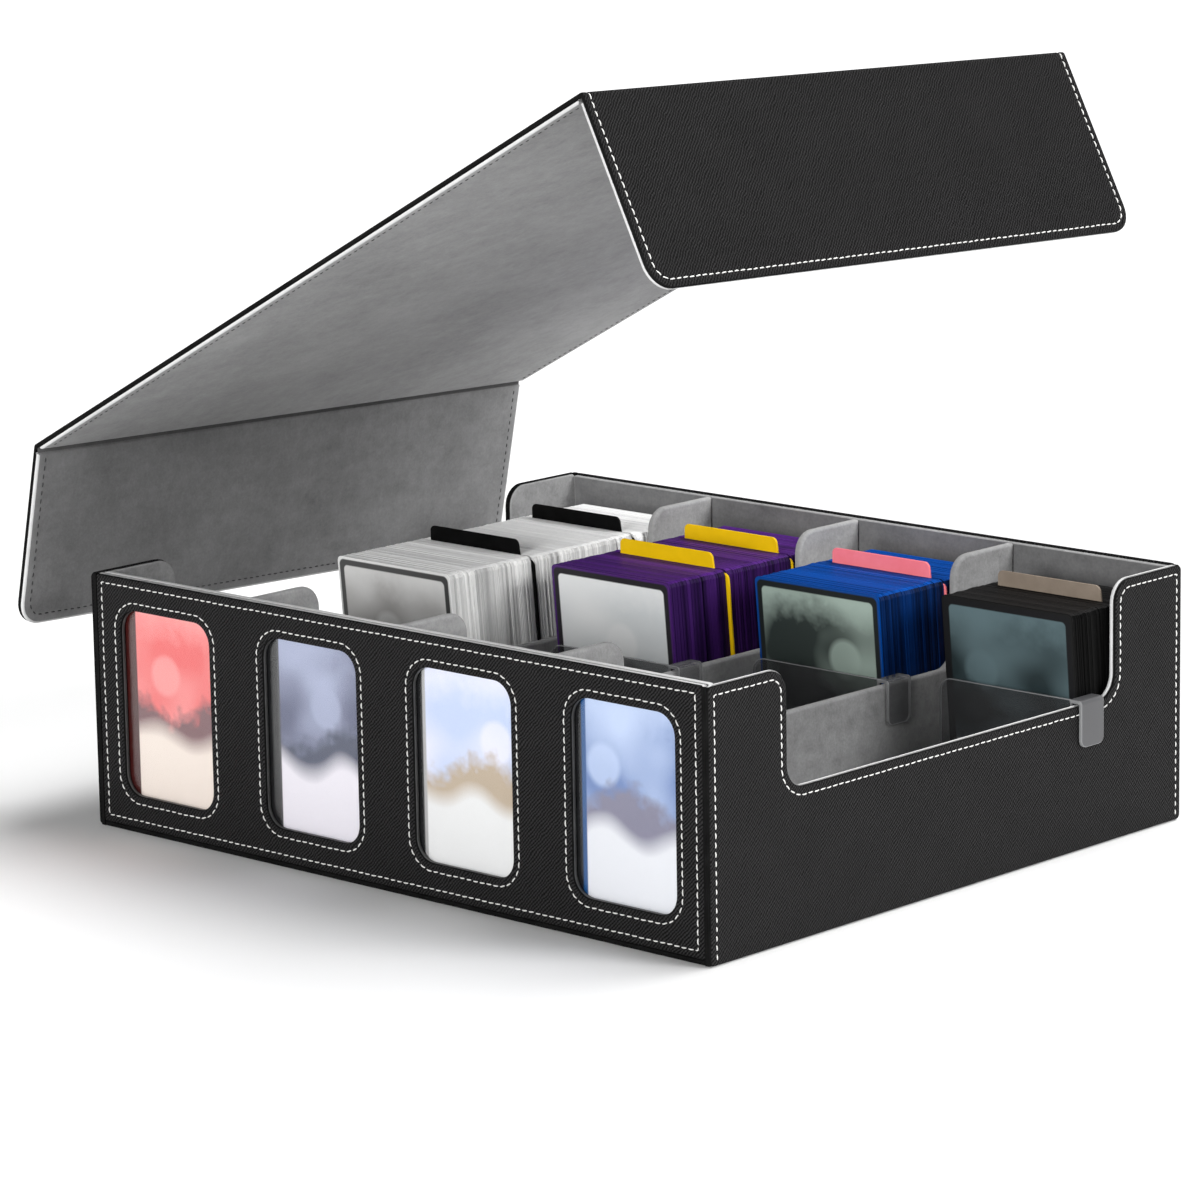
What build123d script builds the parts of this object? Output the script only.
from build123d import *
import os
from math import radians, tan

# Trading card storage box: a leather-covered tray with four card columns and a windowed front wall,
# and a loose lid of three panels, shown swung up to the left.
# Origin at the middle of the underside; X along the window wall, Y to the back, Z up. Millimetres, degrees.

# Sleeved cards, which the box is made around
CARD_WIDTH = 64.0
CARD_HEIGHT = 88.5
DISPLAY_CARD = 1.0

# Tray
BOX_DEPTH = 277.0
COLUMN_COUNT = 4
CARD_PLAY = 6.55  # column wall to a card in the middle of its column
HEADROOM = 10.5  # rim above a card's height
BASE = 2.0
FLOOR_LINING = 1.0
BOARD = 1.2  # leather-covered board of the end and back walls
LINING = 2.0  # padded suede lining of the end and back walls
EDGE_TURN = 1.6  # leather turned in over the front and back ends of an end wall

# Access cut in the end walls and the dividers
CUT_SPAN = 192.0
CUT_DEPTH = 45.0  # below the rim
CUT_ROUND = 9.0
POST_ROUND = 9.0

# Dividers
DIVIDER_CORE = 1.2
DIVIDER_LINING = 1.1
DIVIDER_DROP = 1.0  # divider tops stay this far below the rim

# Windowed front wall
FRONT_LEATHER = 1.0  # padded leather face with the windows
FRONT_BOARD = 1.4  # board strips behind the leather
BOARD_SETBACK = 0.8  # board strips back from the window edges
BOARD_JOINT = 0.2  # between the ends of board strips
FRONT_INNER = 2.4
WINDOW_SIDE = 6.75  # card width behind the panel, each side of a window
WINDOW_SILL = 15.0
WINDOW_HEAD = 12.5  # panel above a window
WINDOW_ROUND = 8.5
WINDOW_EASE = 0.8  # softened front edge of each window
FILM = 0.4
FILM_LAP = 3.0  # film hidden behind the panel all round
POCKET_PLAY = 2.5  # pocket side to a card in the middle of its pocket
POCKET_LEDGE = 3.0  # strip that a display card stands on
DISPLAY_SIDE_GAP = 0.5  # display card to the right side of its pocket

# Card rows, from the left column to the right one
ROW_LENGTHS = (145.0, 103.0, 70.5, 52.0)
TAB_PLACE_SHARES = ((0.331, 0.751), (0.335, 0.715), (0.574,), (0.528,))
ROW_SIDE_GAP = 0.55  # tab dividers to the wall on their right
ROW_BACK_GAP = 0.5
ROW_LEAN = 5.0  # degrees, tops to the front

# Tab dividers between the card blocks
TAB_CARD = 1.0
TAB_CARD_PROUD = 1.0  # wider than the cards, each side
TAB_INSET = 8.0  # tab narrower than its divider, each side
TAB_RISE = 6.2  # tab above the cards
TAB_SHOULDER = 1.5  # divider card below the cards, beside its tab
TAB_ROUND = 2.5

# Clear stops that hook over a cut edge
STOP = 1.4
STOP_SIDE_GAP = 11.8  # stop to the wall on its left
STOP_RISE = 2.0  # plate top above the cut edge
STOP_FOOT_GAP = 1.0  # plate foot above the floor
STOP_ROUND = 6.0
STOP_LEAD = 0.6  # stop ahead of the front card's top edge
HOOK_WIDTH = 14.0
HOOK_DROP = 17.0
HOOK_ROUND = 3.0

# Lid panels
LID_BOARD = 1.6
LID_LINING = 1.6
FLAP_HEIGHT = 76.0
FLAP_ROUND = 10.0
FLAP_CLEARANCE = 2.0  # flap to end wall when the lid is closed
LID_CLEARANCE = 0.4  # lid to rim when the lid is closed
FOLD_GAP = 0.3  # flap to the rounded leather fold

# Lid pose as shown, turned from closed about a slightly skewed line left of the box
LID_OPEN = 28.2
LEFT_FLAP_OPEN = 38.0
SWING_OUT = 96.5  # line to the left of the tray
SWING_UP = 64.3  # line above the table
SWING_LEAN = 3.66  # degrees off Y, towards X
SWING_RISE = 1.35  # degrees off Y, towards Z

# Magnets in the end walls and the flaps
MAGNET_RADIUS = 5.0
MAGNET = 1.0
MAGNET_SPACING = 120.0
MAGNET_INSET = 13.4  # above the flap's lower edge

# Fits
SLIP = 0.3  # between pieces that move past each other
SEAT = 0.1  # under a loose piece
BLOCK_GAP = 0.1  # between a tab divider and the cards beside it
OVERRUN = 1.0  # cutters past the faces that they cut

# Places that several pieces share
HALF_DEPTH = BOX_DEPTH / 2
WALL = BOARD + LINING
DIVIDER = DIVIDER_CORE + DIVIDER_LINING + DIVIDER_LINING
COLUMN_WIDTH = CARD_WIDTH + 2 * CARD_PLAY
COLUMN_PITCH = COLUMN_WIDTH + DIVIDER
COLUMNS = [(n - (COLUMN_COUNT - 1) / 2) * COLUMN_PITCH for n in range(COLUMN_COUNT)]
INNER_HALF = (COLUMN_COUNT * COLUMN_PITCH - DIVIDER) / 2
HALF_WIDTH = INNER_HALF + WALL
FLOOR = BASE + FLOOR_LINING
BOX_HEIGHT = FLOOR + CARD_HEIGHT + HEADROOM
CUT_FLOOR = BOX_HEIGHT - CUT_DEPTH
WINDOW_WIDTH = CARD_WIDTH - 2 * WINDOW_SIDE
WINDOW_HEIGHT = BOX_HEIGHT - WINDOW_SILL - WINDOW_HEAD
POCKET_WIDTH = CARD_WIDTH + 2 * POCKET_PLAY
LEATHER_BACK = -HALF_DEPTH + FRONT_LEATHER
PANEL_BACK = LEATHER_BACK + FRONT_BOARD
POCKET = FILM + SLIP + DISPLAY_CARD + SLIP
POCKET_BACK = PANEL_BACK + POCKET
INNER_FRONT = POCKET_BACK + FRONT_INNER
INNER_BACK = HALF_DEPTH - WALL
CARD_FOOT = FLOOR + SEAT
CARD_TOP = CARD_FOOT + CARD_HEIGHT
ROW_BACK = INNER_BACK - ROW_BACK_GAP
TAB_CARD_WIDTH = CARD_WIDTH + 2 * TAB_CARD_PROUD
TAB_WIDTH = TAB_CARD_WIDTH - 2 * TAB_INSET
LID = LID_BOARD + LID_LINING
LID_HALF = HALF_WIDTH + FLAP_CLEARANCE + LID
LID_UNDER = BOX_HEIGHT + LID_CLEARANCE
LID_TOP = LID_UNDER + LID
CREASE_RADIUS = LID / 2
CREASE_X = LID_HALF - CREASE_RADIUS
CREASE_Z = LID_TOP - CREASE_RADIUS
CREASE_REACH = CREASE_RADIUS + FOLD_GAP
FLAP_FOOT = LID_TOP - FLAP_HEIGHT
MAGNET_HEIGHT = FLAP_FOOT + MAGNET_INSET
SWING = Axis(
    (-HALF_WIDTH - SWING_OUT, 0, SWING_UP),
    (-tan(radians(SWING_LEAN)), -1, tan(radians(SWING_RISE))),
)


def block(x, y, z):
    """A plain block between two values on each axis."""
    spans = (x, y, z)
    middle = [(low + high) / 2 for low, high in spans]
    sizes = [abs(high - low) for low, high in spans]
    return Pos(*middle) * Box(*sizes)


def across(x, outline):
    """An outline drawn in Y and Z, made solid between two X values."""
    low, high = min(x), max(x)
    return extrude(Plane.YZ.offset(low) * outline, amount=high - low)


def cut_plate(x, y, z):
    """A plate with the rounded access cut let in from its top edge."""
    middle = Pos((y[0] + y[1]) / 2, (z[0] + z[1]) / 2)
    outline = middle * Rectangle(y[1] - y[0], z[1] - z[0])
    cut_top = z[1] + OVERRUN
    outline -= Pos(0, (CUT_FLOOR + cut_top) / 2) * Rectangle(CUT_SPAN, cut_top - CUT_FLOOR)
    outline = fillet(outline.vertices().group_by(Axis.Y)[1], CUT_ROUND)
    post_corners = outline.vertices().group_by(Axis.Y)[-1].sort_by(Axis.X)[1:3]
    return across(x, fillet(post_corners, POST_ROUND))


def magnets(x, height):
    """Two discs side by side along Y, between two X values."""
    low, high = min(x), max(x)
    discs = [
        Pos(low, y, height) * Rot(Y=90) * extrude(Circle(MAGNET_RADIUS), amount=high - low)
        for y in (-MAGNET_SPACING / 2, MAGNET_SPACING / 2)
    ]
    return Part() + discs


def end_wall(side):
    """Board, lining and magnets of the left (-1) or right (1) end wall."""
    outer = side * HALF_WIDTH
    seam = side * (HALF_WIDTH - BOARD)
    inner = side * INNER_HALF
    board = cut_plate((outer, seam), (-HALF_DEPTH, HALF_DEPTH), (0, BOX_HEIGHT))
    for end in (-1, 1):
        edge = (end * HALF_DEPTH, end * (HALF_DEPTH - EDGE_TURN))
        board += block((seam, inner), edge, (0, BOX_HEIGHT))
    lining_y = (-HALF_DEPTH + EDGE_TURN, HALF_DEPTH - EDGE_TURN)
    lining = cut_plate((seam, inner), lining_y, (0, BOX_HEIGHT))
    discs = magnets((seam, seam - side * MAGNET), MAGNET_HEIGHT)
    return board, lining - discs, discs


def window_openings():
    """The rounded window openings, as cutters through the leather face."""
    outline = RectangleRounded(WINDOW_WIDTH, WINDOW_HEIGHT, WINDOW_ROUND)
    middle = WINDOW_SILL + WINDOW_HEIGHT / 2
    depth = FRONT_LEATHER + 2 * OVERRUN
    facing = Rot(X=90)
    return [
        Pos(x, LEATHER_BACK + OVERRUN, middle) * facing * extrude(outline, amount=depth)
        for x in COLUMNS
    ]


def window_panel():
    """Leather face between the end walls, with its windows eased at the front."""
    panel = block((-INNER_HALF, INNER_HALF), (-HALF_DEPTH, LEATHER_BACK), (BASE, BOX_HEIGHT))
    panel -= window_openings()
    front = panel.faces().sort_by(Axis.Y)[0]
    rims = [edge for wire in front.inner_wires() for edge in wire.edges()]
    return fillet(rims, WINDOW_EASE)


def spans_between(half):
    """X spans left between openings that reach a half width to both sides of each column."""
    edges = [-INNER_HALF]
    for x in COLUMNS:
        edges += [x - half, x + half]
    edges.append(INNER_HALF)
    return list(zip(edges[::2], edges[1::2]))


def panel_boards():
    """Board strips behind the leather face: rails below and above the windows, uprights between."""
    depth = (LEATHER_BACK, PANEL_BACK)
    low = WINDOW_SILL - BOARD_SETBACK
    high = WINDOW_SILL + WINDOW_HEIGHT + BOARD_SETBACK
    strips = [
        block((-INNER_HALF, INNER_HALF), depth, span) for span in ((BASE, low), (high, BOX_HEIGHT))
    ]
    for span in spans_between(WINDOW_WIDTH / 2 + BOARD_SETBACK):
        strips.append(block(span, depth, (low + BOARD_JOINT, high - BOARD_JOINT)))
    return Part() + strips


def window_film(x):
    """Clear sheet behind one window."""
    half = WINDOW_WIDTH / 2 + FILM_LAP
    low = WINDOW_SILL - FILM_LAP
    high = WINDOW_SILL + WINDOW_HEIGHT + FILM_LAP
    return block((x - half, x + half), (PANEL_BACK, PANEL_BACK + FILM), (low, high))


def pocket_spacers():
    """Upright strips and a ledge that part the front wall into card pockets."""
    depth = (PANEL_BACK, POCKET_BACK)
    strips = [
        block(span, depth, (BASE, BOX_HEIGHT - DIVIDER_DROP))
        for span in spans_between(POCKET_WIDTH / 2)
    ]
    ledge = block((-INNER_HALF, INNER_HALF), depth, (BASE, BASE + POCKET_LEDGE))
    return ledge + strips


def display_card(x):
    """Sleeved card standing in a front pocket."""
    right = x + POCKET_WIDTH / 2 - DISPLAY_SIDE_GAP
    front = PANEL_BACK + FILM + SLIP
    foot = BASE + POCKET_LEDGE + SEAT
    card = block((right - CARD_WIDTH, right), (front, front + DISPLAY_CARD), (foot, foot + CARD_HEIGHT))
    return fillet(card.edges().filter_by(Axis.Y), TAB_ROUND)


def divider(x):
    """Core and both linings of the divider in the middle of x."""
    y = (INNER_FRONT, INNER_BACK)
    z = (FLOOR, BOX_HEIGHT - DIVIDER_DROP)
    core_half = DIVIDER_CORE / 2
    core = cut_plate((x - core_half, x + core_half), y, z)
    linings = [
        cut_plate((x + side * core_half, x + side * DIVIDER / 2), y, z) for side in (-1, 1)
    ]
    return core, Part() + linings


def leaning(y_foot, z):
    """Y of a leaning card at height z, from its Y at the foot."""
    return y_foot - (z - CARD_FOOT) * tan(radians(ROW_LEAN))


def leaning_block(x, y, z):
    """Cards that lean to the front; y is given at the foot."""
    corners = [
        (leaning(y[0], z[0]), z[0]),
        (leaning(y[1], z[0]), z[0]),
        (leaning(y[1], z[1]), z[1]),
        (leaning(y[0], z[1]), z[1]),
    ]
    return across(x, make_face(Polyline(*corners, close=True)))


def tab_divider(x, y):
    """Divider card with a rounded tab that stands above the cards."""
    half = TAB_CARD_WIDTH / 2
    tab_half = TAB_WIDTH / 2
    depth = (y - TAB_CARD / 2, y + TAB_CARD / 2)
    shoulder = CARD_TOP - TAB_SHOULDER
    card = leaning_block((x - half, x + half), depth, (CARD_FOOT, shoulder))
    card += leaning_block((x - tab_half, x + tab_half), depth, (shoulder, CARD_TOP + TAB_RISE))
    top = card.faces().sort_by(Axis.Z)[-1]
    return fillet(top.edges().filter_by(Axis.Y), TAB_ROUND)


def row_front(row):
    """Y of a row's front card at its foot."""
    return ROW_BACK - ROW_LENGTHS[row]


def card_row(row):
    """Card blocks of one row, and the tab dividers between them."""
    x = COLUMNS[row] + (COLUMN_WIDTH - TAB_CARD_WIDTH) / 2 - ROW_SIDE_GAP
    across_x = (x - CARD_WIDTH / 2, x + CARD_WIDTH / 2)
    tabs_y = [row_front(row) + share * ROW_LENGTHS[row] for share in TAB_PLACE_SHARES[row]]
    half_gap = TAB_CARD / 2 + BLOCK_GAP
    starts = [row_front(row)] + [y + half_gap for y in tabs_y]
    ends = [y - half_gap for y in tabs_y] + [ROW_BACK]
    blocks = [leaning_block(across_x, span, (CARD_FOOT, CARD_TOP)) for span in zip(starts, ends)]
    return blocks, [tab_divider(x, y) for y in tabs_y]


def clear_stop(row):
    """Clear plate in front of a row, with a hook over the wall on its right."""
    wall_left = COLUMNS[row] + COLUMN_WIDTH / 2
    wall_right = wall_left + (WALL if row == COLUMN_COUNT - 1 else DIVIDER)
    plate_back = leaning(row_front(row), CARD_TOP) - STOP_LEAD
    plate_front = plate_back - STOP
    plate_right = wall_left - SLIP
    top = CUT_FLOOR + STOP_RISE
    plate = block(
        (wall_left - COLUMN_WIDTH + STOP_SIDE_GAP, plate_right),
        (plate_front, plate_back),
        (FLOOR + STOP_FOOT_GAP, top),
    )
    far_corner = plate.edges().filter_by(Axis.Y).group_by(Axis.Z)[-1].sort_by(Axis.X)[0]
    plate = fillet(far_corner, STOP_ROUND)
    hook_y = (plate_front, plate_front + HOOK_WIDTH)
    hook_right = wall_right + SLIP + STOP
    saddle = block((plate_right, hook_right), hook_y, (CUT_FLOOR + SLIP, top))
    finger = block((wall_right + SLIP, hook_right), hook_y, (CUT_FLOOR - HOOK_DROP, top))
    foot_corners = finger.edges().filter_by(Axis.X).group_by(Axis.Z)[0]
    return plate + saddle + fillet(foot_corners, HOOK_ROUND)


def swung(piece):
    """A lid piece taken from its closed place to the pose shown."""
    return piece.rotate(SWING, LID_OPEN)


def lid_top():
    """Board and lining of the top panel."""
    half = CREASE_X - CREASE_REACH
    x = (-half, half)
    y = (-HALF_DEPTH, HALF_DEPTH)
    seam = LID_UNDER + LID_LINING
    return swung(block(x, y, (seam, LID_TOP))), swung(block(x, y, (LID_UNDER, seam)))


def crease(side):
    """Rounded leather fold between the top panel and a flap."""
    middle = side * CREASE_X
    bead = extrude(Circle(CREASE_RADIUS), amount=HALF_DEPTH, both=True)
    bead = Pos(middle, 0, CREASE_Z) * Rot(X=90) * bead
    web = block(
        (middle, middle - side * CREASE_REACH),
        (-HALF_DEPTH, HALF_DEPTH),
        (LID_UNDER, LID_TOP),
    )
    return swung(bead + web)


def flap_sheet(x):
    """One layer of a closed flap, with its lower corners rounded."""
    top = CREASE_Z - CREASE_REACH
    outline = Pos(0, (FLAP_FOOT + top) / 2) * Rectangle(BOX_DEPTH, top - FLAP_FOOT)
    return across(x, fillet(outline.vertices().group_by(Axis.Y)[0], FLAP_ROUND))


def flap(side):
    """Board, lining and magnets of the left (-1) or right (1) flap, in the pose shown."""
    outer = side * LID_HALF
    seam = outer - side * LID_BOARD
    inner = outer - side * LID
    discs = magnets((seam, seam - side * MAGNET), MAGNET_HEIGHT)
    pieces = [flap_sheet((outer, seam)), flap_sheet((seam, inner)) - discs, discs]
    if side < 0:
        fold = Axis((side * CREASE_X, 0, CREASE_Z), (0, 1, 0))
        pieces = [piece.rotate(fold, LEFT_FLAP_OPEN) for piece in pieces]
    return [swung(piece) for piece in pieces]


def tray_nodes():
    """Pieces of the tray that never move."""
    nodes = {}
    inner_x = (-INNER_HALF, INNER_HALF)
    nodes["base_board"] = block(inner_x, (-HALF_DEPTH, HALF_DEPTH), (0, BASE))
    nodes["floor_lining"] = block(inner_x, (INNER_FRONT, INNER_BACK), (BASE, FLOOR))
    for name, side in (("left_wall", -1), ("right_wall", 1)):
        board, lining, discs = end_wall(side)
        nodes[f"{name}_board"] = board
        nodes[f"{name}_lining"] = lining
        nodes[f"{name}_magnets"] = discs
    nodes["back_wall_board"] = block(inner_x, (HALF_DEPTH - BOARD, HALF_DEPTH), (BASE, BOX_HEIGHT))
    nodes["back_wall_lining"] = block(inner_x, (INNER_BACK, HALF_DEPTH - BOARD), (BASE, BOX_HEIGHT))
    nodes["front_window_panel"] = window_panel()
    nodes["front_panel_boards"] = panel_boards()
    nodes["front_pocket_spacers"] = pocket_spacers()
    nodes["front_inner_wall"] = block(inner_x, (POCKET_BACK, INNER_FRONT), (BASE, BOX_HEIGHT))
    for number, x in enumerate(COLUMNS, start=1):
        nodes[f"window_film_{number}"] = window_film(x)
    for number, x in enumerate(COLUMNS[:-1], start=1):
        core, linings = divider(x + COLUMN_PITCH / 2)
        nodes[f"divider_{number}_core"] = core
        nodes[f"divider_{number}_linings"] = linings
    return nodes


def loose_nodes():
    """Display cards, clear stops, card blocks and tab dividers."""
    nodes = {}
    for row, x in enumerate(COLUMNS):
        number = row + 1
        nodes[f"display_card_{number}"] = display_card(x)
        nodes[f"clear_stop_{number}"] = clear_stop(row)
        blocks, tabs = card_row(row)
        for letter, piece in zip("abc", blocks):
            nodes[f"card_block_{number}{letter}"] = piece
        for letter, piece in zip("abc", tabs):
            nodes[f"tab_divider_{number}{letter}"] = piece
    return nodes


def lid_nodes():
    """The lid in the pose shown."""
    nodes = {}
    nodes["lid_top_board"], nodes["lid_top_lining"] = lid_top()
    for name, side in (("left", -1), ("right", 1)):
        nodes[f"{name}_crease"] = crease(side)
        board, lining, discs = flap(side)
        nodes[f"{name}_flap_board"] = board
        nodes[f"{name}_flap_lining"] = lining
        nodes[f"{name}_flap_magnets"] = discs
    return nodes


os.makedirs("parts", exist_ok=True)
for node, shape in (tray_nodes() | loose_nodes() | lid_nodes()).items():
    export_step(shape, f"parts/{node}.step")
